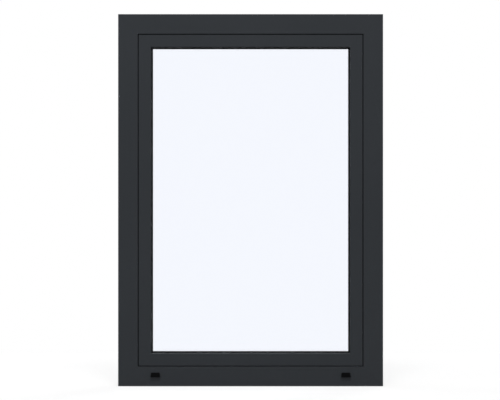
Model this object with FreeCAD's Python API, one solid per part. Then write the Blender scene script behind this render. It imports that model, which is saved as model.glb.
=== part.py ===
import FreeCAD, Part
import math
import os

# Tilt and turn window in thermally broken aluminium, sizes in millimetres.
# X runs along the width, Y from the outside to the inside, Z up.
# The origin is on the sill's underside, in the middle of its inside half.
os.makedirs("parts", exist_ok=True)

# Fixed frame
window_width = 890.0
window_height = 1250.0
frame_depth = 70.0
frame_face = 66.0
frame_front_depth = 24.0
frame_rear_depth = 24.0
frame_lip_depth = 14.0
frame_rebate = 45.0
fixing_from_end = 225.0
fixing_radius = 4.0

# Opening sash
shadow_gap = 2.5
sash_face = 42.5
sash_setback = 2.5
sash_front_depth = 25.5
sash_rear_depth = 27.0
sash_lip_depth = 16.5
sash_lip_radius = 3.0
sash_proud = 9.0
hardware_gap = 12.0
flange_overlap = 6.0
flange_thickness = 4.0
glazing_rebate = 20.0

# Aluminium walls and edges
profile_wall = 1.8
arris_radius = 0.8
joint_radius = 0.5

# Polyamide strips with a dovetail head rolled into each half
strip_thickness = 2.5
strip_head = 4.5
strip_bite = 3.0

# Hardware groove round the sash edge
groove_mouth = 12.0
groove_width = 16.0
groove_depth = 7.0
groove_lip = 2.0

# Sealed glass unit, its cavity filling what the seals and beads leave
pane_thickness = 6.0
glass_edge_gap = 5.0
spacer_setback = 1.0
spacer_height = 11.0

# Setting blocks that carry the glass on the bottom rail
block_length = 100.0
block_from_corner = 90.0
block_clearance = 0.5

# Glazing beads
bead_height = 19.0
bead_depth = 23.0
bead_wall = 1.5
bead_radius = 2.5
clip_width = 4.0
clip_height = 3.0
clip_from_inside = 11.0

# Rubber gaskets with a barbed foot
barb_neck = 2.4
barb_width = 4.4
barb_shoulder = 1.2
barb_depth = 3.0
outer_seal = 5.0
outer_sight = 5.0
inner_seal = 4.0
inner_sight = 3.0
seal_grip = 8.0
seal_nose = 5.0
seal_toe = 2.0
centre_foot = 8.0
centre_foot_height = 7.0
centre_bulb = 6.0
centre_bulb_start = 2.0
stop_width = 4.4
stop_contact = 2.0

# Handle
rosette_width = 31.0
rosette_height = 70.0
rosette_depth = 11.0
rosette_corner = 5.0
rosette_chamfer = 1.8
collar_radius = 13.0
collar_height = 5.0
grip_width = 20.0
grip_thickness = 12.0
grip_corner = 4.5
grip_bend = 16.0
grip_reach = 42.0
grip_length = 128.0
grip_chamfer = 2.0

# Hinges
hinge_clearance = 2.0
hinge_stand = 4.0
knuckle_radius = 7.0
knuckle_gap = 0.5
pin_radius = 3.0
pin_clearance = 0.05
pin_head_radius = 4.5
pin_head_height = 3.0
leaf_thickness = 3.5
leaf_corner = 3.0
web_width = 8.0
frame_leaf_width = 24.0
sash_leaf_width = 25.0
sash_leaf_inset = 2.0
bottom_hinge_height = 55.0
bottom_knuckle = 36.0
top_hinge_drop = 55.0
top_ear = 18.0
top_knuckle = 38.0

# Drain slots and caps on the sill
drain_from_side = 125.0
drain_height = 38.0
slot_width = 24.0
slot_height = 5.0
cap_height = 15.0
cap_bottom_width = 32.5
cap_top_width = 28.0
cap_bottom_depth = 7.0
cap_top_depth = 3.0
cap_corner = 3.0
cap_nose = 1.5
cap_wall = 1.2
cap_rib = 2.5
cap_rib_reach = 6.0
cap_clearance = 0.2

# Section planes: u runs inward from the perimeter, v inward from the frame's outside face
frame_rear_start = frame_depth - frame_rear_depth
sash_edge = frame_face + shadow_gap
sight_line = sash_edge + sash_face
glazing_floor = sight_line - glazing_rebate
sash_front_end = sash_setback + sash_front_depth
sash_lip_end = sash_setback + sash_lip_depth
sash_back = frame_depth + sash_proud
sash_rear_start = sash_back - sash_rear_depth
sash_core = frame_rebate + hardware_gap
flange_edge = frame_rebate - flange_overlap
flange_front = sash_back - flange_thickness
glass_edge = glazing_floor + glass_edge_gap
glass_front = sash_lip_end + outer_seal
bead_front = sash_back - bead_depth
bead_top = glazing_floor + bead_height
glass_back = bead_front - inner_seal
cavity_front = glass_front + pane_thickness
cavity_back = glass_back - pane_thickness
clip_floor = glazing_floor - clip_height
clip_back = sash_back - clip_from_inside
clip_front = clip_back - clip_width

# Depth planes in the window's own axes
outside_y = -(frame_rear_start + frame_depth) / 2
inside_y = outside_y + frame_depth
sash_inside_y = outside_y + sash_back
cut_margin = 1.0

# Sides in the order in which quarter turns about the depth axis reach them
sides = ("left", "top", "right", "bottom")
upright_sides = ("left", "right")


def outline(corners):
    # Closed wire through the corners; a third number is the corner's radius
    trimmed = []
    for index, corner in enumerate(corners):
        before = corners[index - 1]
        after = corners[(index + 1) % len(corners)]
        here = FreeCAD.Vector(corner[0], corner[1], 0)
        back = (FreeCAD.Vector(before[0], before[1], 0) - here).normalize()
        ahead = (FreeCAD.Vector(after[0], after[1], 0) - here).normalize()
        radius = corner[2] if len(corner) > 2 else 0
        half_angle = back.getAngle(ahead) / 2
        setback = radius / math.tan(half_angle)
        crest = (back + ahead).normalize() * (radius / math.sin(half_angle) - radius)
        trimmed.append((here + back * setback, here + crest, here + ahead * setback, radius))
    edges = []
    for index, (entry, crest, leave, radius) in enumerate(trimmed):
        if radius > 0:
            edges.append(Part.Arc(entry, crest, leave).toShape())
        edges.append(Part.makeLine(leave, trimmed[(index + 1) % len(trimmed)][0]))
    return Part.Wire(edges)


def area(corners):
    return Part.Face(outline(corners))


def rectangle(u_low, v_low, u_high, v_high):
    return [(u_low, v_low), (u_high, v_low), (u_high, v_high), (u_low, v_high)]


def strip_area(u_middle, v_front, v_rear):
    # Thermal break strip: a web between the halves, a dovetail head in each of them
    web = strip_thickness / 2
    head = strip_head / 2
    return area(
        [
            (u_middle - web, v_front),
            (u_middle - head, v_front - strip_bite),
            (u_middle + head, v_front - strip_bite),
            (u_middle + web, v_front),
            (u_middle + web, v_rear),
            (u_middle + head, v_rear + strip_bite),
            (u_middle - head, v_rear + strip_bite),
            (u_middle - web, v_rear),
        ]
    )


def barb_area(u_middle, v_mouth, into):
    # Arrow-shaped gasket foot; into is the direction along v in which it is pushed
    neck = barb_neck / 2
    wing = barb_width / 2
    shoulder = v_mouth + into * barb_shoulder
    tip = v_mouth + into * barb_depth
    return area(
        [
            (u_middle - neck, v_mouth),
            (u_middle - neck, shoulder),
            (u_middle - wing, shoulder),
            (u_middle - neck, tip),
            (u_middle + neck, tip),
            (u_middle + wing, shoulder),
            (u_middle + neck, shoulder),
            (u_middle + neck, v_mouth),
        ]
    )


def boss_area(u_middle, width, v_mouth, depth, wall, into):
    # Metal left round a groove, one wall thick on its sides and floor
    reach = v_mouth + into * (depth + wall)
    return area(
        rectangle(
            u_middle - width / 2 - wall,
            min(v_mouth, reach),
            u_middle + width / 2 + wall,
            max(v_mouth, reach),
        )
    )


def strip_boss(u_middle, v_mouth, into):
    return boss_area(u_middle, strip_head, v_mouth, strip_bite, profile_wall, into)


def hollow(contour, chamber, bosses, seated):
    # Extruded section: one chamber less its bosses, grooved for the pieces seated in it
    return area(contour).cut(area(chamber).cut(bosses)).cut(seated)


def place(bar, side):
    # Carries a bar drawn as the left-hand one to its own side
    upright = side in upright_sides
    span = window_width if upright else window_height
    run = window_height if upright else window_width
    bar.translate(FreeCAD.Vector(-span / 2, outside_y, -run / 2))
    bar.rotate(FreeCAD.Vector(0, 0, 0), FreeCAD.Vector(0, 1, 0), 90 * sides.index(side))
    bar.translate(FreeCAD.Vector(0, 0, window_height / 2))
    return bar


def mitred_bar(profile, side):
    # Extrusion along one side with its ends sawn at 45 degrees to the window's corners
    run = window_height if side in upright_sides else window_width
    reach = min(window_width, window_height) / 2
    saw_lines = [
        FreeCAD.Vector(0, -cut_margin, 0),
        FreeCAD.Vector(0, -cut_margin, run),
        FreeCAD.Vector(reach, -cut_margin, run - reach),
        FreeCAD.Vector(reach, -cut_margin, reach),
    ]
    kept = Part.Face(Part.makePolygon(saw_lines, True))
    kept = kept.extrude(FreeCAD.Vector(0, sash_back + 2 * cut_margin, 0))
    return place(profile.extrude(FreeCAD.Vector(0, 0, run)).common(kept), side)


def square_bar(profile, side, end_inset):
    # Extrusion along one side, cut square at the same distance from both ends
    run = window_height if side in upright_sides else window_width
    bar = profile.extrude(FreeCAD.Vector(0, 0, run - 2 * end_inset))
    bar.translate(FreeCAD.Vector(0, 0, end_inset))
    return place(bar, side)


def ring(profile):
    bars = [mitred_bar(profile, side) for side in sides]
    return bars[0].fuse(bars[1:]).removeSplitter()


def cylinder(radius, base, direction, length):
    return Part.makeCylinder(radius, length, base, direction)


def box(x_low, y_low, z_low, x_high, y_high, z_high):
    corner = FreeCAD.Vector(x_low, y_low, z_low)
    return Part.makeBox(x_high - x_low, y_high - y_low, z_high - z_low, corner)


def rounded_plate(width, height, thickness, corner, x_middle, y_back, z_middle):
    # Upright plate with round corners, standing inward from its back
    corners = rectangle(-width / 2, -height / 2, width / 2, height / 2)
    plate = area([point + (corner,) for point in corners])
    plate = plate.extrude(FreeCAD.Vector(0, 0, thickness))
    plate.rotate(FreeCAD.Vector(0, 0, 0), FreeCAD.Vector(1, 0, 0), -90)
    plate.translate(FreeCAD.Vector(x_middle, y_back, z_middle))
    return plate


def save(name, *shapes):
    solids = [solid for shape in shapes for solid in shape.Solids]
    Part.makeCompound(solids).exportStep("parts/" + name + ".step")


# Thermal break strips, set one wall in from the perimeter and from each rebate floor
strip_inset = profile_wall + strip_head / 2
perimeter_u = strip_inset
rebate_u = frame_rebate - strip_inset
edge_u = sash_edge + strip_inset
glazing_u = glazing_floor - strip_inset
perimeter_strip = strip_area(perimeter_u, frame_front_depth, frame_rear_start)
rebate_strip = strip_area(rebate_u, frame_front_depth, frame_rear_start)
edge_strip = strip_area(edge_u, sash_front_end, sash_rear_start)
glazing_strip = strip_area(glazing_u, sash_front_end, sash_rear_start)

# Gasket feet, each in the middle of the metal that holds it
outer_foot_u = sight_line - seal_grip / 2
inner_foot_u = bead_top - seal_grip / 2
stop_foot_u = frame_rebate - flange_overlap / 2
outer_barb = barb_area(outer_foot_u, sash_lip_end, -1)
inner_barb = barb_area(inner_foot_u, bead_front, 1)
stop_barb = barb_area(stop_foot_u, flange_front, 1)

# Frame profile: outside half with its lip, and inside half
frame_front = hollow(
    [
        (0, 0, arris_radius),
        (frame_face, 0, joint_radius),
        (frame_face, frame_lip_depth),
        (frame_rebate, frame_lip_depth),
        (frame_rebate, frame_front_depth),
        (0, frame_front_depth),
    ],
    [
        (profile_wall, profile_wall),
        (frame_face - profile_wall, profile_wall),
        (frame_face - profile_wall, frame_lip_depth - profile_wall),
        (frame_rebate - profile_wall, frame_lip_depth - profile_wall),
        (frame_rebate - profile_wall, frame_front_depth - profile_wall),
        (profile_wall, frame_front_depth - profile_wall),
    ],
    [strip_boss(perimeter_u, frame_front_depth, -1), strip_boss(rebate_u, frame_front_depth, -1)],
    [perimeter_strip, rebate_strip],
)
frame_rear = hollow(
    [
        (0, frame_rear_start),
        (frame_rebate, frame_rear_start),
        (frame_rebate, frame_depth, arris_radius),
        (0, frame_depth, arris_radius),
    ],
    rectangle(
        profile_wall,
        frame_rear_start + profile_wall,
        frame_rebate - profile_wall,
        frame_depth - profile_wall,
    ),
    [strip_boss(perimeter_u, frame_rear_start, 1), strip_boss(rebate_u, frame_rear_start, 1)],
    [perimeter_strip, rebate_strip],
)

# Sash profile: outside half with the glazing lip, inside half with flange and grooves
sash_front = hollow(
    [
        (sash_edge, sash_setback, joint_radius),
        (sight_line, sash_setback, sash_lip_radius),
        (sight_line, sash_lip_end),
        (glazing_floor, sash_lip_end),
        (glazing_floor, sash_front_end),
        (sash_edge, sash_front_end),
    ],
    [
        (sash_edge + profile_wall, sash_setback + profile_wall),
        (sight_line - profile_wall, sash_setback + profile_wall),
        (sight_line - profile_wall, sash_lip_end - profile_wall),
        (glazing_floor - profile_wall, sash_lip_end - profile_wall),
        (glazing_floor - profile_wall, sash_front_end - profile_wall),
        (sash_edge + profile_wall, sash_front_end - profile_wall),
    ],
    [
        strip_boss(edge_u, sash_front_end, -1),
        strip_boss(glazing_u, sash_front_end, -1),
        boss_area(outer_foot_u, barb_width, sash_lip_end, barb_depth, profile_wall, -1),
    ],
    [edge_strip, glazing_strip, outer_barb],
)
groove_middle = (sash_rear_start + flange_front) / 2
mouth_low = groove_middle - groove_mouth / 2
mouth_high = groove_middle + groove_mouth / 2
groove_low = groove_middle - groove_width / 2
groove_high = groove_middle + groove_width / 2
groove_floor = sash_core + groove_depth
sash_rear = hollow(
    [
        (flange_edge, sash_back, arris_radius),
        (flange_edge, flange_front),
        (sash_core, flange_front),
        (sash_core, mouth_high),
        (sash_core + groove_lip, mouth_high),
        (sash_core + groove_lip, groove_high),
        (groove_floor, groove_high),
        (groove_floor, groove_low),
        (sash_core + groove_lip, groove_low),
        (sash_core + groove_lip, mouth_low),
        (sash_core, mouth_low),
        (sash_core, sash_rear_start),
        (glazing_floor, sash_rear_start),
        (glazing_floor, clip_front),
        (clip_floor, clip_front),
        (clip_floor, clip_back),
        (glazing_floor, clip_back),
        (glazing_floor, sash_back, arris_radius),
    ],
    [
        (groove_floor + profile_wall, sash_rear_start + profile_wall),
        (glazing_floor - profile_wall, sash_rear_start + profile_wall),
        (glazing_floor - profile_wall, clip_front - profile_wall),
        (clip_floor - profile_wall, clip_front - profile_wall),
        (clip_floor - profile_wall, clip_back + profile_wall),
        (glazing_floor - profile_wall, clip_back + profile_wall),
        (glazing_floor - profile_wall, sash_back - profile_wall),
        (groove_floor + profile_wall, sash_back - profile_wall),
    ],
    [strip_boss(edge_u, sash_rear_start, 1), strip_boss(glazing_u, sash_rear_start, 1)],
    [edge_strip, glazing_strip, stop_barb],
)

# Fixing holes through the inside half of both jambs, on the line of the origin
fixing_holes = []
for hole_z in (fixing_from_end, window_height - fixing_from_end):
    for wall_x in (-window_width / 2, window_width / 2 - frame_rebate):
        hole_start = FreeCAD.Vector(wall_x - cut_margin, 0, hole_z)
        hole_length = frame_rebate + 2 * cut_margin
        fixing_holes.append(cylinder(fixing_radius, hole_start, FreeCAD.Vector(1, 0, 0), hole_length))

# Drain slots in the sill: through the rebate floor into the chamber, then through the outside wall
drain_xs = {
    "left": drain_from_side - window_width / 2,
    "right": window_width / 2 - drain_from_side,
}
drain_slots = []
for drain_x in drain_xs.values():
    outlet = box(
        drain_x - slot_width / 2,
        outside_y - cut_margin,
        drain_height - slot_height / 2,
        drain_x + slot_width / 2,
        outside_y + profile_wall + cut_margin,
        drain_height + slot_height / 2,
    )
    inlet = box(
        drain_x - slot_width / 2,
        outside_y + frame_lip_depth,
        frame_rebate - profile_wall - cut_margin,
        drain_x + slot_width / 2,
        outside_y + frame_lip_depth + slot_height,
        frame_rebate + cut_margin,
    )
    drain_slots += [outlet, inlet]

# Frame members and their thermal breaks
frame_names = {
    "left": "frame_left_jamb",
    "top": "frame_head",
    "right": "frame_right_jamb",
    "bottom": "frame_sill",
}
for side, name in frame_names.items():
    front = mitred_bar(frame_front, side)
    rear = mitred_bar(frame_rear, side)
    if side == "bottom":
        front = front.cut(drain_slots)
    if side in upright_sides:
        rear = rear.cut(fixing_holes)
    save(name, front, rear)
    save(name + "_thermal_break", mitred_bar(perimeter_strip, side), mitred_bar(rebate_strip, side))

# Sash members and their thermal breaks
sash_names = {
    "left": "sash_left_stile",
    "top": "sash_top_rail",
    "right": "sash_right_stile",
    "bottom": "sash_bottom_rail",
}
for side, name in sash_names.items():
    save(name, mitred_bar(sash_front, side), mitred_bar(sash_rear, side))
    save(name + "_thermal_break", mitred_bar(edge_strip, side), mitred_bar(glazing_strip, side))

# Glazing beads: hollow, clipped into the sash, uprights between the cross pieces
bead = hollow(
    [
        (glazing_floor, bead_front),
        (bead_top, bead_front),
        (bead_top, sash_back, bead_radius),
        (glazing_floor, sash_back, arris_radius),
        (glazing_floor, clip_back),
        (clip_floor, clip_back),
        (clip_floor, clip_front),
        (glazing_floor, clip_front),
    ],
    rectangle(
        glazing_floor + bead_wall,
        bead_front + bead_wall,
        bead_top - bead_wall,
        sash_back - bead_wall,
    ),
    [boss_area(inner_foot_u, barb_width, bead_front, barb_depth, bead_wall, 1)],
    [inner_barb],
)
bead_feet = []
for side in sides:
    inset = bead_top if side in upright_sides else glazing_floor
    save("glazing_bead_" + side, square_bar(bead, side, inset))
    bead_feet.append(square_bar(inner_barb, side, inset))

# Sealed glass unit
for name, pane_front in (("outer_pane", glass_front), ("inner_pane", cavity_back)):
    pane = box(
        glass_edge - window_width / 2,
        outside_y + pane_front,
        glass_edge,
        window_width / 2 - glass_edge,
        outside_y + pane_front + pane_thickness,
        window_height - glass_edge,
    )
    save(name, pane)
spacer_edge = glass_edge + spacer_setback
spacer = area(rectangle(spacer_edge, cavity_front, spacer_edge + spacer_height, cavity_back))
save("glazing_spacer", ring(spacer))

# Setting blocks: they bridge both halves of the bottom rail, between the glazing lip and the bead
block_start = glass_edge + block_from_corner - window_width / 2
for side, block_x in (("left", block_start), ("right", -block_start - block_length)):
    block = box(
        block_x,
        outside_y + sash_lip_end + block_clearance,
        glazing_floor,
        block_x + block_length,
        outside_y + bead_front - block_clearance,
        glass_edge,
    )
    save("setting_block_" + side, block)

# Glazing gaskets: a grip between metal and glass, a sloped nose on the glass, a barbed foot
# The inner one's foot is cut to the length of each bead
outer_gasket = area(
    [
        (sight_line - seal_grip, sash_lip_end),
        (sight_line, sash_lip_end),
        (sight_line, sash_lip_end - seal_nose),
        (sight_line + outer_sight, glass_front - seal_toe),
        (sight_line + outer_sight, glass_front),
        (sight_line - seal_grip, glass_front),
    ]
)
save("outer_glazing_gasket", ring(outer_gasket.fuse(outer_barb).removeSplitter()))
inner_gasket = area(
    [
        (bead_top - seal_grip, bead_front),
        (bead_top, bead_front),
        (bead_top, bead_front + seal_nose),
        (bead_top + inner_sight, glass_back + seal_toe),
        (bead_top + inner_sight, glass_back),
        (bead_top - seal_grip, glass_back),
    ]
)
save("inner_glazing_gasket", ring(inner_gasket).fuse(bead_feet).removeSplitter())

# Weather gaskets: one on the frame's inner strip, one under the sash flange
foot_low = (frame_front_depth + frame_rear_start - centre_foot) / 2
foot_high = foot_low + centre_foot
foot_u = rebate_u + strip_thickness / 2
stem_u = foot_u + centre_foot_height
bulb_u = sash_core + centre_bulb_start
centre_gasket = area(
    [
        (foot_u, foot_low),
        (stem_u, foot_low),
        (bulb_u + centre_bulb, sash_rear_start - centre_bulb),
        (bulb_u + centre_bulb, sash_rear_start),
        (bulb_u, sash_rear_start),
        (bulb_u, sash_rear_start - centre_bulb / 2),
        (stem_u, foot_high),
        (foot_u, foot_high),
    ]
)
save("centre_gasket", ring(centre_gasket))
stop_gasket = area(
    [
        (stop_foot_u - stop_width / 2, flange_front),
        (stop_foot_u - stop_contact / 2, frame_depth),
        (stop_foot_u + stop_contact / 2, frame_depth),
        (stop_foot_u + stop_width / 2, flange_front),
    ]
)
save("stop_gasket", ring(stop_gasket.fuse(stop_barb).removeSplitter()))

# Handle in the middle of the left stile, seen from outside, with the lever hanging down
handle_x = (flange_edge + glazing_floor) / 2 - window_width / 2
handle_z = window_height / 2
rosette_y = sash_inside_y + rosette_depth
rosette = rounded_plate(
    rosette_width,
    rosette_height,
    rosette_depth,
    rosette_corner,
    handle_x,
    sash_inside_y,
    handle_z,
)
front_edges = [edge for edge in rosette.Edges if edge.BoundBox.YMin > rosette_y - rosette_chamfer / 2]
save("handle_rosette", rosette.makeChamfer(rosette_chamfer, front_edges))

neck_start = FreeCAD.Vector(handle_x, rosette_y, handle_z)
bend_start = neck_start + FreeCAD.Vector(0, grip_reach - grip_bend, 0)
bend_end = bend_start + FreeCAD.Vector(0, grip_bend, -grip_bend)
bend_side = grip_bend * math.sqrt(0.5)
bend_middle = bend_start + FreeCAD.Vector(0, bend_side, bend_side - grip_bend)
grip_tip = FreeCAD.Vector(handle_x, bend_end.y, handle_z - grip_length)
lever_path = Part.Wire(
    [
        Part.makeLine(neck_start, bend_start),
        Part.Arc(bend_start, bend_middle, bend_end).toShape(),
        Part.makeLine(bend_end, grip_tip),
    ]
)
grip_corners = rectangle(-grip_width / 2, -grip_thickness / 2, grip_width / 2, grip_thickness / 2)
grip_outline = outline([point + (grip_corner,) for point in grip_corners])
grip_outline.rotate(FreeCAD.Vector(0, 0, 0), FreeCAD.Vector(1, 0, 0), -90)
grip_outline.translate(neck_start)
lever = lever_path.makePipeShell([grip_outline], True, False)
tip_edges = [edge for edge in lever.Edges if edge.BoundBox.ZMax < grip_tip.z + grip_chamfer / 2]
lever = lever.makeChamfer(grip_chamfer, tip_edges)
collar = cylinder(collar_radius, neck_start, FreeCAD.Vector(0, 1, 0), collar_height)
save("handle_lever", lever.fuse(collar).removeSplitter())

# Hinges on the right-hand side, seen from outside; their axis just clears the sash flange
hinge_x = window_width / 2 - flange_edge + hinge_clearance + knuckle_radius
hinge_y = sash_inside_y + hinge_stand


def knuckle(radius, z_low, z_high):
    base = FreeCAD.Vector(hinge_x, hinge_y, z_low)
    return cylinder(radius, base, FreeCAD.Vector(0, 0, 1), z_high - z_low)


def frame_leaf(z_low, z_high):
    return rounded_plate(
        frame_leaf_width,
        z_high - z_low,
        leaf_thickness,
        leaf_corner,
        hinge_x + (frame_leaf_width - web_width) / 2,
        inside_y,
        (z_low + z_high) / 2,
    )


def frame_ear(z_low, z_high):
    web = box(
        hinge_x - web_width / 2,
        inside_y,
        z_low,
        hinge_x + web_width / 2,
        hinge_y,
        z_high,
    )
    return web.fuse(knuckle(knuckle_radius, z_low, z_high))


def sash_leaf(z_low, z_high):
    leaf_x = window_width / 2 - flange_edge - sash_leaf_inset
    plate = rounded_plate(
        sash_leaf_width,
        z_high - z_low,
        leaf_thickness,
        leaf_corner,
        leaf_x - sash_leaf_width / 2,
        sash_inside_y,
        (z_low + z_high) / 2,
    )
    arm = box(
        leaf_x - web_width,
        sash_inside_y,
        z_low,
        hinge_x,
        hinge_y + pin_radius,
        z_high,
    )
    return plate.fuse([arm, knuckle(knuckle_radius, z_low, z_high)])


bottom_joint = bottom_hinge_height + bottom_knuckle
bottom_high = bottom_joint + knuckle_gap + bottom_knuckle
bottom_pin_top = bottom_high - knuckle_radius
bottom_frame = frame_leaf(bottom_hinge_height, bottom_joint).fuse(
    [
        frame_ear(bottom_hinge_height, bottom_joint),
        knuckle(pin_radius, bottom_hinge_height, bottom_pin_top),
    ]
)
save("bottom_hinge_frame_leaf", bottom_frame.removeSplitter())
bottom_bore = knuckle(pin_radius + pin_clearance, bottom_joint, bottom_pin_top + pin_clearance)
bottom_sash = sash_leaf(bottom_joint + knuckle_gap, bottom_high).cut(bottom_bore)
save("bottom_hinge_sash_leaf", bottom_sash.removeSplitter())

top_high = window_height - top_hinge_drop
top_sash_high = top_high - top_ear - knuckle_gap
top_sash_low = top_sash_high - top_knuckle
top_ear_high = top_sash_low - knuckle_gap
top_low = top_ear_high - top_ear
top_bore = knuckle(pin_radius + pin_clearance, top_low, top_high)
top_frame = frame_leaf(top_low, top_high).fuse(
    [frame_ear(top_low, top_ear_high), frame_ear(top_high - top_ear, top_high)]
)
save("top_hinge_frame_leaf", top_frame.cut(top_bore).removeSplitter())
top_sash = sash_leaf(top_sash_low, top_sash_high).cut(top_bore)
save("top_hinge_sash_leaf", top_sash.removeSplitter())
pin_head = knuckle(pin_head_radius, top_low - pin_head_height, top_low)
save("top_hinge_pin", knuckle(pin_radius, top_low, top_high).fuse(pin_head))

# Drain caps: tapered hoods open below, held in each outlet by two ribs
cap_low = drain_height - cap_height / 2


def hood(inset, corner, nose):
    # Tapered body: its front view, wide at the foot, crossed with its side view, deep at the foot
    front_view = area(
        [
            (inset - cap_bottom_width / 2, 0),
            (cap_bottom_width / 2 - inset, 0),
            (cap_top_width / 2 - inset, cap_height - inset, corner),
            (inset - cap_top_width / 2, cap_height - inset, corner),
        ]
    )
    side_view = area(
        [
            (0, 0),
            (inset - cap_bottom_depth, 0),
            (inset - cap_top_depth, cap_height - inset, nose),
            (0, cap_height - inset),
        ]
    )
    across = front_view.extrude(FreeCAD.Vector(0, 0, cap_bottom_depth))
    across.rotate(FreeCAD.Vector(0, 0, 0), FreeCAD.Vector(1, 0, 0), 90)
    along = side_view.extrude(FreeCAD.Vector(0, 0, cap_bottom_width))
    along.rotate(FreeCAD.Vector(0, 0, 0), FreeCAD.Vector(1, 1, 1), 120)
    along.translate(FreeCAD.Vector(-cap_bottom_width / 2, 0, 0))
    body = across.common(along)
    body.translate(FreeCAD.Vector(0, outside_y, cap_low))
    return body


for side, drain_x in drain_xs.items():
    body = hood(0, cap_corner, cap_nose)
    cap = body.cut(hood(cap_wall, 0, 0))
    rib_u = slot_width / 2 - cap_clearance - cap_rib / 2
    rib_low = drain_height - slot_height / 2 + cap_clearance
    rib_high = drain_height + slot_height / 2 - cap_clearance
    for rib_x in (-rib_u, rib_u):
        rib_sides = (rib_x - cap_rib / 2, rib_x + cap_rib / 2)
        rib = box(
            rib_sides[0],
            outside_y - cap_bottom_depth,
            rib_low,
            rib_sides[1],
            outside_y,
            rib_high,
        )
        leg = box(
            rib_sides[0],
            outside_y,
            rib_low,
            rib_sides[1],
            outside_y + cap_rib_reach,
            rib_high,
        )
        cap = cap.fuse([rib.common(body), leg])
    cap = cap.removeSplitter()
    cap.translate(FreeCAD.Vector(drain_x, 0, 0))
    save("drain_cap_" + side, cap)
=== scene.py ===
import math

import bmesh
import bpy
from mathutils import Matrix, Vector


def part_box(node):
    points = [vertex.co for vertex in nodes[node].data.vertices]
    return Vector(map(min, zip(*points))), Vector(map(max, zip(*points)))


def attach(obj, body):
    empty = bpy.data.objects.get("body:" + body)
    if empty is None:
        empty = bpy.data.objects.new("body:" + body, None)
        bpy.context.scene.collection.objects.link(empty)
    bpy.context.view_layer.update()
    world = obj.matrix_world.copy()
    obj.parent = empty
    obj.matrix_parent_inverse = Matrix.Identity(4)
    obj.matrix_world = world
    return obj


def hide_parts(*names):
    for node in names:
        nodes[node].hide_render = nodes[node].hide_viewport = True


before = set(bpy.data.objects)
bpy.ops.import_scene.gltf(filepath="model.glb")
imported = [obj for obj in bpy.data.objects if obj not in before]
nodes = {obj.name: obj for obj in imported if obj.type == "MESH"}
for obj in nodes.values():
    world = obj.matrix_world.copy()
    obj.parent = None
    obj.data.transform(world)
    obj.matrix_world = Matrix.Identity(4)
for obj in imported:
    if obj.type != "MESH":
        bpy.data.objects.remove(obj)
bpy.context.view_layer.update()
headLow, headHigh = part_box("frame_head")
windowHalf = headHigh.x
windowTop = headHigh.z
outsideY = headLow.y
print("window loaded,", len(nodes), "parts")

white = (1, 1, 1, 1)
nodeStep = 180  # spacing in the node editor


# node trees are put together with these few helpers
def feed(tree, sockets, values):
    for key, value in values.items():
        if isinstance(value, bpy.types.NodeSocket):
            tree.links.new(value, sockets[key])
        else:
            sockets[key].default_value = value


def put(tree, kind, inputs=None, **settings):
    node = tree.nodes.new(kind)
    node.location = (nodeStep * len(tree.nodes), 0)
    for name, value in settings.items():
        setattr(node, name, value)
    feed(tree, node.inputs, inputs or {})
    return node.outputs


def calc(tree, operation, *values, clamp=False):
    numbers = dict(enumerate(values))
    return put(tree, "ShaderNodeMath", numbers, operation=operation, use_clamp=clamp)[0]


def noise(tree, vector, scale, detail=2.0, roughness=0.5):
    sizes = {"Vector": vector, "Scale": scale, "Detail": detail, "Roughness": roughness}
    return put(tree, "ShaderNodeTexNoise", sizes)[0]


def stretch(tree, vector, scale):
    return put(tree, "ShaderNodeMapping", {"Vector": vector, "Scale": scale})[0]


def ramp(tree, value, low, high, toLow, toHigh):
    sizes = {"Value": value, "From Min": low, "From Max": high, "To Min": toLow, "To Max": toHigh}
    return put(tree, "ShaderNodeMapRange", sizes)[0]


def blendColours(tree, mask, first, second):  # sockets 6 and 7 take colours, and 2 gives one
    return put(tree, "ShaderNodeMix", {"Factor": mask, 6: first, 7: second}, data_type="RGBA")[2]


def mixShaders(tree, share, first, second):
    return put(tree, "ShaderNodeMixShader", {0: share, 1: first, 2: second})[0]


def newGroup(name, inputs, outputs, kind="ShaderNodeTree"):
    tree = bpy.data.node_groups.new(name, kind)
    for side, sockets in (("INPUT", inputs), ("OUTPUT", outputs)):
        for label, kindOfSocket in sockets.items():
            tree.interface.new_socket(label, in_out=side, socket_type="NodeSocket" + kindOfSocket)
    return tree, tree.nodes.new("NodeGroupInput").outputs, tree.nodes.new("NodeGroupOutput").inputs


# each output of a group is a sum of its effects, each with its share
def weigh(tree, result, effects, sums):
    for label, shares in sums.items():
        total = 0.0
        for name, share in shares.items():
            total = calc(tree, "MULTIPLY_ADD", effects[name], share, total)
        feed(tree, result, {label: total})


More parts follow.
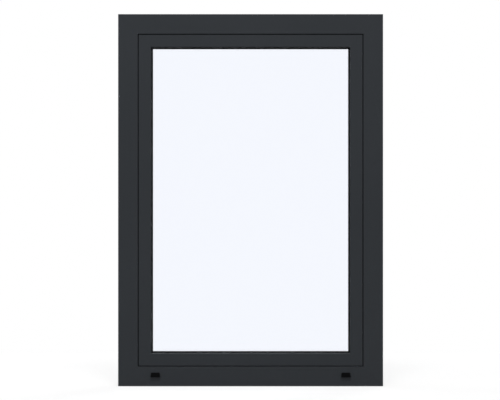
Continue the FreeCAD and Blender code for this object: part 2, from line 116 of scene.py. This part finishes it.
# runs a pattern along each mitred bar: across the face, through the depth, along the bar
def barRunGroup():
    tree, given, result = newGroup(
        "barRun",
        {"Position": "Vector", "Half Width": "Float", "Height": "Float", "Seam": "Float"},
        {"Section": "Vector", "Mitre": "Float"},
    )
    split = put(tree, "ShaderNodeSeparateXYZ", {"Vector": given["Position"]})
    fromSide = calc(tree, "SUBTRACT", given["Half Width"], calc(tree, "ABSOLUTE", split["X"]))
    halfHeight = calc(tree, "MULTIPLY", given["Height"], 0.5)
    fromMiddle = calc(tree, "ABSOLUTE", calc(tree, "SUBTRACT", split["Z"], halfHeight))
    fromEnd = calc(tree, "SUBTRACT", halfHeight, fromMiddle)
    upright = calc(tree, "LESS_THAN", fromSide, fromEnd)
    across = calc(tree, "MINIMUM", fromSide, fromEnd)
    along = calc(tree, "MULTIPLY_ADD", upright, calc(tree, "SUBTRACT", split["Z"], split["X"]), split["X"])
    section = put(tree, "ShaderNodeCombineXYZ", {"X": across, "Y": split["Y"], "Z": along})[0]
    offMitre = calc(tree, "ABSOLUTE", calc(tree, "SUBTRACT", fromSide, fromEnd))
    mitre = calc(tree, "SUBTRACT", 1.0, calc(tree, "DIVIDE", offMitre, given["Seam"]), clamp=True)
    feed(tree, result, {"Section": section, "Mitre": mitre})
    return tree


# powder coat and satin metal: orange peel, fine specks, drawn lines and a slow drift of tone
grainPlan = {
    "drift": 3.0, "speckSpan": (0.34, 0.66), "lines": (420.0, 420.0, 2.5),
    "sums": {
        "Tone": {"drift": 0.40, "speck": 0.42, "drawn": 0.18},
        "Gloss": {"peel": 0.55, "drift": 0.45},
        "Height": {"peel": 0.6, "speck": 0.3, "drawn": 0.1},
    },
}


def coatGrainGroup():
    tree, given, result = newGroup(
        "coatGrain",
        {"Position": "Vector", "Section": "Vector", "Peel": "Float", "Speck": "Float"},
        {"Tone": "Float", "Gloss": "Float", "Height": "Float"},
    )
    place = given["Position"]
    specks = noise(tree, place, given["Speck"], detail=1.0)
    lines = stretch(tree, given["Section"], grainPlan["lines"])
    effects = {
        "peel": noise(tree, place, given["Peel"], detail=3.0, roughness=0.55),
        "speck": ramp(tree, specks, *grainPlan["speckSpan"], 0.0, 1.0),
        "drift": noise(tree, place, grainPlan["drift"], detail=3.0, roughness=0.45),
        "drawn": noise(tree, lines, 1.0),
    }
    weigh(tree, result, effects, grainPlan["sums"])
    return tree


# fine texture of a moulded or extruded plastic, with lines left by the die
skinPlan = {
    "bloom": 14.0, "lines": (1.0, 1.0, 0.006),
    "sums": {
        "Tone": {"bloom": 0.7, "lined": 0.5},
        "Gloss": {"pits": 0.5, "bloom": 0.5},
        "Height": {"pits": 0.5, "lined": 1.0},
    },
}


def mouldedSkinGroup():
    tree, given, result = newGroup(
        "mouldedSkin",
        {
            "Position": "Vector", "Section": "Vector",
            "Pits": "Float", "Lines": "Float", "Line Depth": "Float",
        },
        {"Tone": "Float", "Gloss": "Float", "Height": "Float"},
    )
    place = given["Position"]
    lines = stretch(tree, given["Section"], skinPlan["lines"])
    lines = noise(tree, lines, given["Lines"], detail=1.0)
    effects = {
        "pits": noise(tree, place, given["Pits"], roughness=0.6),
        "bloom": noise(tree, place, skinPlan["bloom"], detail=4.0, roughness=0.55),
        "lined": calc(tree, "MULTIPLY", lines, given["Line Depth"]),
    }
    weigh(tree, result, effects, skinPlan["sums"])
    return tree


# a little dust, lying only where a surface looks up
dustLook = {
    "colour": (0.30, 0.30, 0.29, 1), "Amount": 0.015, "Patch": 28.0, "dulls": 0.8,
    "slope": (0.55, 0.95), "patchSpan": (0.35, 0.7), "thinnest": 0.3,
}


def settledDustGroup():
    tree, given, result = newGroup(
        "settledDust", {"Position": "Vector", "Patch": "Float", "Amount": "Float"}, {"Dust": "Float"}
    )
    facing = put(tree, "ShaderNodeNewGeometry")["Normal"]
    upward = put(tree, "ShaderNodeSeparateXYZ", {"Vector": facing})["Z"]
    lying = ramp(tree, upward, *dustLook["slope"], 0.0, 1.0)
    patch = noise(tree, given["Position"], given["Patch"], detail=5.0, roughness=0.62)
    patch = ramp(tree, patch, *dustLook["patchSpan"], dustLook["thinnest"], 1.0)
    dust = calc(tree, "MULTIPLY", calc(tree, "MULTIPLY", lying, patch), given["Amount"])
    feed(tree, result, {"Dust": dust})
    return tree


barRun = barRunGroup()
coatGrain = coatGrainGroup()
mouldedSkin = mouldedSkinGroup()
settledDust = settledDustGroup()
print("shader groups ready")

mitreSeam = {"width": 0.0003, "colour": (0.008, 0.009, 0.010, 1)}
glossSpan = (0.3, 0.7)  # the noise seldom goes past these


def newMaterial(name):
    material = bpy.data.materials.new(name)
    material.use_nodes = True
    tree = material.node_tree
    return material, tree, tree.nodes["Principled BSDF"], put(tree, "ShaderNodeTexCoord")["Object"]


def useGroup(tree, group, values):
    return put(tree, "ShaderNodeGroup", values, node_tree=group)


def alongBars(tree, place):
    sizes = {"Half Width": windowHalf, "Height": windowTop, "Seam": mitreSeam["width"]}
    return useGroup(tree, barRun, {"Position": place, **sizes})


def dustOver(tree, place):
    sizes = {label: dustLook[label] for label in ("Patch", "Amount")}
    return useGroup(tree, settledDust, {"Position": place, **sizes})["Dust"]


def sheen(tree, gloss, look):
    return ramp(tree, gloss, *glossSpan, look["smooth"], look["rough"])


def bump(tree, height, distance):
    sizes = {"Height": height, "Distance": distance, "Strength": 1.0}
    return put(tree, "ShaderNodeBump", sizes)["Normal"]


# makes each finish of a list and puts it on its parts
def dress(looks, finish):
    finishes = {}
    for name, look in looks.items():
        finishes[name] = finish(name, look)
        for part in look["parts"]:
            for slot in nodes[part].material_slots:
                slot.material = finishes[name]
    return finishes


# anthracite powder coat of the frame, sash and beads
frameBars = ("frame_head", "frame_sill", "frame_left_jamb", "frame_right_jamb")
sashBars = ("sash_top_rail", "sash_bottom_rail", "sash_left_stile", "sash_right_stile")
beadBars = ("glazing_bead_top", "glazing_bead_bottom", "glazing_bead_left", "glazing_bead_right")
coatLooks = {
    "frameCoat": {
        "parts": frameBars, "deep": (0.0158, 0.0182, 0.0213, 1), "pale": (0.0246, 0.0275, 0.0313, 1),
    },
    "sashCoat": {
        "parts": sashBars, "deep": (0.0158, 0.0182, 0.0213, 1), "pale": (0.0246, 0.0275, 0.0313, 1),
    },
    "beadCoat": {
        "parts": beadBars, "deep": (0.0154, 0.0178, 0.0208, 1), "pale": (0.0241, 0.0270, 0.0307, 1),
    },
}
coatShine = {
    "specular": 0.12, "smooth": 0.34, "rough": 0.52, "relief": 0.00012, "Peel": 380.0, "Speck": 1500.0,
}


def coatFinish(name, look):
    material, tree, shader, place = newMaterial(name)
    run = alongBars(tree, place)
    sizes = {label: coatShine[label] for label in ("Peel", "Speck")}
    grain = useGroup(tree, coatGrain, {"Position": place, "Section": run["Section"], **sizes})
    dust = dustOver(tree, place)
    colour = blendColours(tree, grain["Tone"], look["deep"], look["pale"])
    colour = blendColours(tree, run["Mitre"], colour, mitreSeam["colour"])
    gloss = sheen(tree, grain["Gloss"], coatShine)
    height = calc(tree, "SUBTRACT", grain["Height"], run["Mitre"])
    feed(tree, shader.inputs, {
        "Base Color": blendColours(tree, dust, colour, dustLook["colour"]),
        "Roughness": calc(tree, "MULTIPLY_ADD", dust, dustLook["dulls"], gloss, clamp=True),
        "Specular IOR Level": coatShine["specular"],
        "Normal": bump(tree, height, coatShine["relief"]),
    })
    return material


dress(coatLooks, coatFinish)
print("coated bars dressed")

# rubber, polyamide, foil and plastics share one skin; the near-black painted shade of the slots goes on the
# spacer's slots below
skinLooks = {
    "gasketRubber": {
        "parts": ("outer_glazing_gasket", "inner_glazing_gasket", "centre_gasket", "stop_gasket"),
        "deep": (0.0020, 0.0021, 0.0022, 1), "pale": (0.0042, 0.0043, 0.0045, 1),
        "specular": 0.012, "smooth": 0.5, "rough": 0.72, "relief": 0.00008,
        "Pits": 1700.0, "Lines": 900.0, "Line Depth": 0.6,
    },
    "polyamideStrip": {
        "parts": [bar + "_thermal_break" for bar in frameBars + sashBars],
        "deep": (0.010, 0.010, 0.0105, 1), "pale": (0.026, 0.026, 0.027, 1),
        "specular": 0.3, "smooth": 0.55, "rough": 0.8, "relief": 0.00012,
        "Pits": 900.0, "Lines": 1100.0, "Line Depth": 0.9,
    },
    "spacerFoil": {
        "parts": ("glazing_spacer",),
        "deep": (0.010, 0.010, 0.011, 1), "pale": (0.018, 0.018, 0.019, 1),
        "specular": 0.4, "smooth": 0.4, "rough": 0.55, "relief": 0.00004,
        "Pits": 1200.0, "Lines": 500.0, "Line Depth": 0.5,
    },
    # painted shade: near-black that stands in for the dark inside the spacer's holes, which are only raised
    # boxes
    "slotPaintedShade": {
        "parts": (),
        "deep": (0.0008, 0.0008, 0.0009, 1), "pale": (0.0020, 0.0020, 0.0021, 1),
        "specular": 0.0, "smooth": 0.8, "rough": 0.95, "relief": 0.00002,
        "Pits": 1800.0, "Lines": 500.0, "Line Depth": 0.0,
    },
    "capPlastic": {
        "parts": ("drain_cap_left", "drain_cap_right"),
        "deep": (0.0018, 0.0019, 0.0021, 1), "pale": (0.0036, 0.0037, 0.0040, 1),
        "specular": 0.015, "smooth": 0.5, "rough": 0.68, "relief": 0.00005,
        "Pits": 1400.0, "Lines": 300.0, "Line Depth": 0.0,
    },
    "blockPlastic": {
        "parts": ("setting_block_left", "setting_block_right"),
        "deep": (0.020, 0.075, 0.27, 1), "pale": (0.035, 0.115, 0.38, 1),
        "specular": 0.4, "smooth": 0.4, "rough": 0.6, "relief": 0.00005,
        "Pits": 900.0, "Lines": 260.0, "Line Depth": 0.3,
    },
}


def skinFinish(name, look):
    material, tree, shader, place = newMaterial(name)
    sizes = {label: look[label] for label in ("Pits", "Lines", "Line Depth")}
    section = alongBars(tree, place)["Section"]
    skin = useGroup(tree, mouldedSkin, {"Position": place, "Section": section, **sizes})
    feed(tree, shader.inputs, {
        "Base Color": blendColours(tree, skin["Tone"], look["deep"], look["pale"]),
        "Roughness": sheen(tree, skin["Gloss"], look),
        "Specular IOR Level": look["specular"],
        "Normal": bump(tree, skin["Height"], look["relief"]),
    })
    return material


skins = dress(skinLooks, skinFinish)
print("rubber and plastic dressed")

# float glass, faintly blue, lets lamp light through to the floor
paneLook = {
    "parts": ("outer_pane", "inner_pane"),
    "tint": (0.951, 0.964, 0.9955, 1), "clear": (0.93, 0.95, 0.97, 1), "ior": 1.52,
    "film": 5.0, "filmLift": 1.002, "hazeSpan": (0.4, 0.75), "haze": 0.012,
    "wave": 0.00002, "waveScale": 1.6, "waveStretch": (1.2, 1.0, 4.0),
}


def glassFinish(name, look):
    material, tree, shader, place = newMaterial(name)
    film = noise(tree, place, look["film"], detail=4.0, roughness=0.6)
    lifted = [min(1, part * look["filmLift"]) for part in look["tint"]]
    drawn = noise(tree, stretch(tree, place, look["waveStretch"]), look["waveScale"], detail=1.0)
    feed(tree, shader.inputs, {
        "Base Color": blendColours(tree, film, look["tint"], lifted),
        "Roughness": ramp(tree, film, *look["hazeSpan"], 0.0, look["haze"]),
        "Transmission Weight": 1.0,
        "IOR": look["ior"],
        "Normal": bump(tree, drawn, look["wave"]),
    })
    shadow = put(tree, "ShaderNodeLightPath")["Is Shadow Ray"]
    clear = put(tree, "ShaderNodeBsdfTransparent", {"Color": look["clear"]})[0]
    surface = mixShaders(tree, shadow, shader.outputs[0], clear)
    feed(tree, tree.nodes["Material Output"].inputs, {"Surface": surface})
    return material


dress({"floatGlass": paneLook}, glassFinish)
print("glass dressed")

# satin handle and hinges, ground steel pin
hingeLeaves = (
    "top_hinge_frame_leaf", "top_hinge_sash_leaf", "bottom_hinge_frame_leaf", "bottom_hinge_sash_leaf",
)
metalLooks = {
    "handleSatin": {
        "parts": ("handle_rosette", "handle_lever"),
        "deep": (0.44, 0.44, 0.45, 1), "pale": (0.58, 0.58, 0.585, 1), "metallic": 1.0,
        "specular": 0.5, "smooth": 0.30, "rough": 0.44, "relief": 0.00002, "Peel": 900.0, "Speck": 2600.0,
    },
    "hingeSatin": {
        "parts": hingeLeaves,
        "deep": (0.020, 0.0215, 0.024, 1), "pale": (0.028, 0.030, 0.033, 1), "metallic": 0.0,
        "specular": 0.35, "smooth": 0.34, "rough": 0.5, "relief": 0.00002, "Peel": 500.0, "Speck": 2200.0,
    },
    "groundSteel": {
        "parts": ("top_hinge_pin",),
        "deep": (0.46, 0.46, 0.47, 1), "pale": (0.62, 0.62, 0.63, 1), "metallic": 1.0,
        "specular": 0.5, "smooth": 0.22, "rough": 0.4, "relief": 0.00001, "Peel": 900.0, "Speck": 3000.0,
    },
}
brushStretch = (4.0, 4.0, 6.0)  # brush lines run upright, four times as fine as the bars' lines


def metalFinish(name, look):
    material, tree, shader, place = newMaterial(name)
    sizes = {label: look[label] for label in ("Peel", "Speck")}
    brushed = stretch(tree, place, brushStretch)
    grain = useGroup(tree, coatGrain, {"Position": place, "Section": brushed, **sizes})
    colour = blendColours(tree, grain["Tone"], look["deep"], look["pale"])
    feed(tree, shader.inputs, {
        "Base Color": blendColours(tree, dustOver(tree, place), colour, dustLook["colour"]),
        "Roughness": sheen(tree, grain["Gloss"], look),
        "Metallic": look["metallic"],
        "Specular IOR Level": look["specular"],
        "Normal": bump(tree, grain["Height"], look["relief"]),
    })
    return material


metals = dress(metalLooks, metalFinish)
print("handle and hinges dressed")


def addObject(name, data):
    thing = bpy.data.objects.new(name, data)
    bpy.context.scene.collection.objects.link(thing)
    return thing


def addPiece(name, mesh):
    piece = addObject(name, mesh)
    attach(piece, "root")
    print(name, len(mesh.polygons), "faces")
    return piece


# fittings and seals have no razor edges: a merged copy with eased edges takes each one's place
# a seal is eased only where it shows, from its inset inwards
leafEase = {"slot": "hinge_finish", "width": 0.0005}
hoodEase = {"slot": "cap_plastic", "width": 0.0004}
handleEase = {"slot": "handle_finish", "width": 0.0006}
sealEase = {"slot": "gasket_rubber", "width": 0.0007, "inset": 0.0075}
easedParts = {
    "topFrameLeaf": {"node": "top_hinge_frame_leaf", **leafEase},
    "topSashLeaf": {"node": "top_hinge_sash_leaf", **leafEase},
    "bottomFrameLeaf": {"node": "bottom_hinge_frame_leaf", **leafEase},
    "bottomSashLeaf": {"node": "bottom_hinge_sash_leaf", **leafEase},
    "leftDrainHood": {"node": "drain_cap_left", **hoodEase},
    "rightDrainHood": {"node": "drain_cap_right", **hoodEase},
    "handleRose": {"node": "handle_rosette", **handleEase},
    "handleGrip": {"node": "handle_lever", **handleEase},
    "outerSeal": {"node": "outer_glazing_gasket", **sealEase},
    "innerSeal": {"node": "inner_glazing_gasket", **sealEase},
}
# metres and degrees: flats within "flat" are joined, and edges past "keen" are eased
easeRule = {"merge": 0.00001, "flat": 0.5, "keen": 30.0, "steps": 3, "crease": 21.0, "bend": 50.0}


def keenEdges(shape, plan):
    keen = math.radians(easeRule["keen"])
    edges = [edge for edge in shape.edges if edge.is_manifold and edge.calc_face_angle() > keen]
    if "inset" not in plan:
        return edges
    low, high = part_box(plan["node"])

    def inside(corner):
        return min(corner.x - low.x, high.x - corner.x, corner.z - low.z, high.z - corner.z) > plan["inset"]

    return [edge for edge in edges if edge.is_convex and all(inside(vert.co) for vert in edge.verts)]


# flats stay flat, and only the eased strips shade round
def markCreases(shape, rounded):
    for edge in shape.edges:
        kinds = [face in rounded for face in edge.link_faces]
        limit = math.radians(easeRule["bend"] if all(kinds) else easeRule["crease"])
        edge.smooth = len(set(kinds)) == 1 and edge.calc_face_angle(0.0) < limit
    for face in shape.faces:
        face.smooth = True


def easedMesh(name, source, plan):
    shape = bmesh.new()
    shape.from_mesh(source.data)
    bmesh.ops.remove_doubles(shape, verts=shape.verts, dist=easeRule["merge"])
    flat = math.radians(easeRule["flat"])
    bmesh.ops.dissolve_limit(shape, angle_limit=flat, verts=shape.verts, edges=shape.edges)
    eased = bmesh.ops.bevel(
        shape, geom=keenEdges(shape, plan), offset=plan["width"], segments=easeRule["steps"],
        profile=0.5, affect="EDGES", clamp_overlap=True,
    )
    markCreases(shape, set(eased["faces"]))
    bmesh.ops.remove_doubles(shape, verts=shape.verts, dist=easeRule["merge"])  # slivers the easing left
    mesh = bpy.data.meshes.new(name)
    shape.to_mesh(mesh)
    shape.free()
    if "custom_normal" in mesh.attributes:
        mesh.attributes.remove(mesh.attributes["custom_normal"])
    mesh.materials.clear()
    mesh.materials.append(source.material_slots[0].material)
    return mesh


for easedName, easedPlan in easedParts.items():
    easedCopy = easedMesh(easedName, nodes[easedPlan["node"]], easedPlan)
    easedPiece = addPiece(easedName, easedCopy)
    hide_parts(easedPlan["node"])


# a geometry tree with one named input for each size
def sizedTree(name, sizes):
    inputs = {"Geometry": "Geometry"}
    for label, size in sizes.items():
        inputs[label] = "Int" if isinstance(size, int) else "Float"
    return newGroup(name, inputs, {"Geometry": "Geometry"}, "GeometryNodeTree")


# the end of each tree: a shape on every point, made one mesh with its material
def spreadOut(tree, result, points, shape, rotation, material):
    spots = {"Points": points, "Instance": shape, "Rotation": rotation}
    spread = put(tree, "GeometryNodeInstanceOnPoints", spots)[0]
    solid = put(tree, "GeometryNodeRealizeInstances", {"Geometry": spread})[0]
    coated = put(tree, "GeometryNodeSetMaterial", {"Geometry": solid, "Material": material})[0]
    feed(tree, result, {"Geometry": coated})


# runs a geometry tree on a carrier mesh and keeps the result as a plain piece
def growPiece(name, carrier, tree, sizes):
    host = addObject(name + "Carrier", carrier)
    modifier = host.modifiers.new("grow", "NODES")
    modifier.node_group = tree
    for item in tree.interface.items_tree:
        if item.in_out == "INPUT" and item.name in sizes:
            modifier[item.identifier] = sizes[item.name]
    host.update_tag()
    bpy.context.view_layer.update()
    grown = host.evaluated_get(bpy.context.evaluated_depsgraph_get())
    mesh = bpy.data.meshes.new_from_object(grown)
    mesh.name = name
    host.modifiers.clear()
    bpy.data.objects.remove(host)
    addPiece(name, mesh)


# lens head screws that hold the hinge leaves
screwSizes = {
    "Head Radius": 0.0036, "Head Height": 0.0017,
    "Socket Radius": 0.0017, "Socket Depth": 0.0011, "Seed": 7,
}
screwBall = {"Segments": 24, "Rings": 12, "Radius": 1.0}
screwSpots = {"fromEnd": 0.0085, "frameSide": 0.0065, "sashSide": 0.0085, "plate": 0.0035}


def screwTree(material):
    tree, given, result = sizedTree("lensHeadScrews", screwSizes)
    ball = put(tree, "GeometryNodeMeshUVSphere", screwBall)[0]
    radius = given["Head Radius"]
    headScale = put(tree, "ShaderNodeCombineXYZ", {"X": radius, "Y": radius, "Z": given["Head Height"]})[0]
    head = put(tree, "GeometryNodeTransform", {"Geometry": ball, "Scale": headScale})[0]
    depth = calc(tree, "MULTIPLY", given["Socket Depth"], 2.0)  # half of the cutter stands above the head
    hexagon = {"Vertices": 6, "Radius": given["Socket Radius"], "Depth": depth}
    cutter = put(tree, "GeometryNodeMeshCylinder", hexagon)[0]
    lift = put(tree, "ShaderNodeCombineXYZ", {"Z": given["Head Height"]})[0]
    cutter = put(tree, "GeometryNodeTransform", {"Geometry": cutter, "Translation": lift})[0]
    pair = {"Mesh 1": head, "Mesh 2": cutter}
    screw = put(tree, "GeometryNodeMeshBoolean", pair, operation="DIFFERENCE")[0]
    spin = put(tree, "FunctionNodeRandomValue", {2: 0.0, 3: math.pi, "Seed": given["Seed"]})[1]
    turn = put(tree, "ShaderNodeCombineXYZ", {"X": -math.pi / 2, "Y": spin})[0]
    spreadOut(tree, result, given["Geometry"], screw, turn, material)
    return tree


def hingeScrewPoints():
    points = []
    for leaf in hingeLeaves:
        low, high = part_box(leaf)
        onFrame = "frame" in leaf
        x = high.x - screwSpots["frameSide"] if onFrame else low.x + screwSpots["sashSide"]
        carrier = "frame_right_jamb" if onFrame else "sash_right_stile"
        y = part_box(carrier)[1].y + screwSpots["plate"]  # face of the leaf's plate
        plateTop = high.z
        if leaf == "bottom_hinge_frame_leaf":  # its pin stands up into the sash leaf
            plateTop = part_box("bottom_hinge_sash_leaf")[0].z
        for z in (low.z + screwSpots["fromEnd"], plateTop - screwSpots["fromEnd"]):
            points.append((x, y, z))
    mesh = bpy.data.meshes.new("hingeScrewPoints")
    mesh.from_pydata(points, [], [])
    return mesh


growPiece("hingeScrews", hingeScrewPoints(), screwTree(metals["groundSteel"]), screwSizes)

# two rows of small slots on the spacer's inner face let the drying agent breathe; each is a thin raised box
# in near-black, painted shade standing in for the dark inside a hole
slotSizes = {"Pitch": 0.006, "Slot Length": 0.0022, "Slot Width": 0.0006, "Row Gap": 0.006, "Rise": 0.00012}
spacerHeight = 0.011


def spacerSlotTree(material):
    tree, given, result = sizedTree("spacerSlots", slotSizes)
    path = put(tree, "GeometryNodeMeshToCurve", {"Mesh": given["Geometry"]})[0]
    spots = put(tree, "GeometryNodeCurveToPoints", {"Curve": path, "Length": given["Pitch"]}, mode="LENGTH")
    sides = {"X": given["Slot Width"], "Y": given["Rise"], "Z": given["Slot Length"]}
    size = put(tree, "ShaderNodeCombineXYZ", sides)[0]
    slot = put(tree, "GeometryNodeMeshCube", {"Size": size})[0]
    pair = tree.nodes.new("GeometryNodeJoinGeometry")
    for side in (-0.5, 0.5):
        aside = calc(tree, "MULTIPLY", given["Row Gap"], side)
        shift = put(tree, "ShaderNodeCombineXYZ", {"X": aside})[0]
        row = put(tree, "GeometryNodeTransform", {"Geometry": slot, "Translation": shift})[0]
        tree.links.new(row, pair.inputs[0])
    spreadOut(tree, result, spots["Points"], pair.outputs[0], spots["Rotation"], material)
    return tree


def spacerPath():
    low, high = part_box("glazing_spacer")
    left, right = low.x + spacerHeight, high.x - spacerHeight
    bottom, top = low.z + spacerHeight, high.z - spacerHeight
    y = (low.y + high.y) / 2
    corners = [(left, y, bottom), (right, y, bottom), (right, y, top), (left, y, top)]
    mesh = bpy.data.meshes.new("spacerPath")
    mesh.from_pydata(corners, [(0, 1), (1, 2), (2, 3), (3, 0)], [])
    return mesh


growPiece("spacerSlots", spacerPath(), spacerSlotTree(skins["slotPaintedShade"]), slotSizes)


# rays that look at the studio: straight, mirrored or through the panes
def lookingRays(tree):
    path = put(tree, "ShaderNodeLightPath")
    rays = calc(tree, "MAXIMUM", path["Is Camera Ray"], path["Is Glossy Ray"])
    return calc(tree, "MAXIMUM", rays, path["Is Transmission Ray"])


# floor: pale, white to the camera, still takes the window's shadow
floorLook = {
    "deep": 0.67, "pale": 0.71, "mottle": 60.0, "rough": 0.9, "glow": 0.7, "fade": (0.9, 1.9),
    "halfWidth": 2.4, "front": -2.4, "back": 1.3, "drop": 0.0003,
}


def floorPaint():
    material, tree, shader, place = newMaterial("floorPaint")
    mottle = noise(tree, place, floorLook["mottle"], detail=4.0, roughness=0.6)
    tones = [[floorLook[tone]] * 3 + [1] for tone in ("deep", "pale")]
    feed(tree, shader.inputs, {
        "Base Color": blendColours(tree, mottle, *tones),
        "Roughness": floorLook["rough"],
        "Specular IOR Level": 0.0,
    })
    glow = put(tree, "ShaderNodeEmission", {"Color": white, "Strength": 1.0})[0]
    away = put(tree, "ShaderNodeVectorMath", {0: place}, operation="LENGTH")["Value"]
    fade = ramp(tree, away, *floorLook["fade"], floorLook["glow"], 1.0)  # runs out into the white studio
    share = calc(tree, "MULTIPLY", lookingRays(tree), fade)
    paint = mixShaders(tree, share, shader.outputs[0], glow)
    under = put(tree, "ShaderNodeNewGeometry")["Backfacing"]  # open from below, to show the underside
    clear = put(tree, "ShaderNodeBsdfTransparent", {"Color": white})[0]
    surface = mixShaders(tree, under, paint, clear)
    feed(tree, tree.nodes["Material Output"].inputs, {"Surface": surface})
    return material


def layFloor():
    half, front, back = floorLook["halfWidth"], floorLook["front"], floorLook["back"]
    level = -floorLook["drop"]
    corners = [(-half, front, level), (half, front, level), (half, back, level), (-half, back, level)]
    mesh = bpy.data.meshes.new("studioFloor")
    mesh.from_pydata(corners, [], [(0, 1, 2, 3)])
    mesh.materials.append(floorPaint())
    addObject("studioFloor", mesh)


layFloor()
print("floor laid")

# white studio round it, softer where it only lights the window
studioLook = {"ambient": 0.39, "white": 1.0}


def lightStudio():
    world = bpy.data.worlds.new("whiteStudio")
    bpy.context.scene.world = world
    world.use_nodes = True
    tree = world.node_tree
    tree.nodes.clear()
    soft, bright = [
        put(tree, "ShaderNodeBackground", {"Color": white, "Strength": studioLook[level]})[0]
        for level in ("ambient", "white")
    ]
    put(tree, "ShaderNodeOutputWorld", {"Surface": mixShaders(tree, lookingRays(tree), soft, bright)})


lightStudio()

# lamps aim at the window's middle; only the top one shows in reflections, so the panes stay clear
lampTarget = Vector((0, 0, 0.6))
lampPlan = {
    "keyLamp": {"at": (-3.0, -3.8, 3.0), "size": 2.4, "watts": 42, "mirrored": False},
    "topLamp": {"at": (0.0, -2.6, 5.2), "size": 1.6, "watts": 248, "mirrored": True},
    "rearLamp": {"at": (1.8, 3.2, 2.8), "size": 2.0, "watts": 95, "mirrored": False},
    "sideLamp": {"at": (-3.0, 1.5, 2.2), "size": 1.6, "watts": 45, "mirrored": False},
}


def hangLamps():
    for name, plan in lampPlan.items():
        data = bpy.data.lights.new(name, "AREA")
        data.shape = "DISK"
        data.size = plan["size"]
        data.energy = plan["watts"]
        lamp = addObject(name, data)
        lamp.location = plan["at"]
        aim = lampTarget - Vector(plan["at"])
        lamp.rotation_euler = aim.to_track_quat("-Z", "Y").to_euler()
        lamp.visible_camera = False
        lamp.visible_transmission = False
        lamp.visible_glossy = plan["mirrored"]


hangLamps()
print("studio lit")

# camera six metres off, square to the window
cameraPlan = {"x": -0.0020, "z": 0.6256, "distance": 6.0, "lens": 128.6, "sensor": 36.0, "reach": 100.0}


def setCamera():
    data = bpy.data.cameras.new("windowCamera")
    data.sensor_width = cameraPlan["sensor"]
    data.lens = cameraPlan["lens"]
    data.clip_end = cameraPlan["reach"]
    camera = addObject("windowCamera", data)
    camera.location = (cameraPlan["x"], outsideY - cameraPlan["distance"], cameraPlan["z"])
    camera.rotation_euler = (math.radians(90), 0, 0)
    bpy.context.scene.camera = camera


setCamera()
bpy.context.scene.view_settings.view_transform = "Standard"
print("camera set")
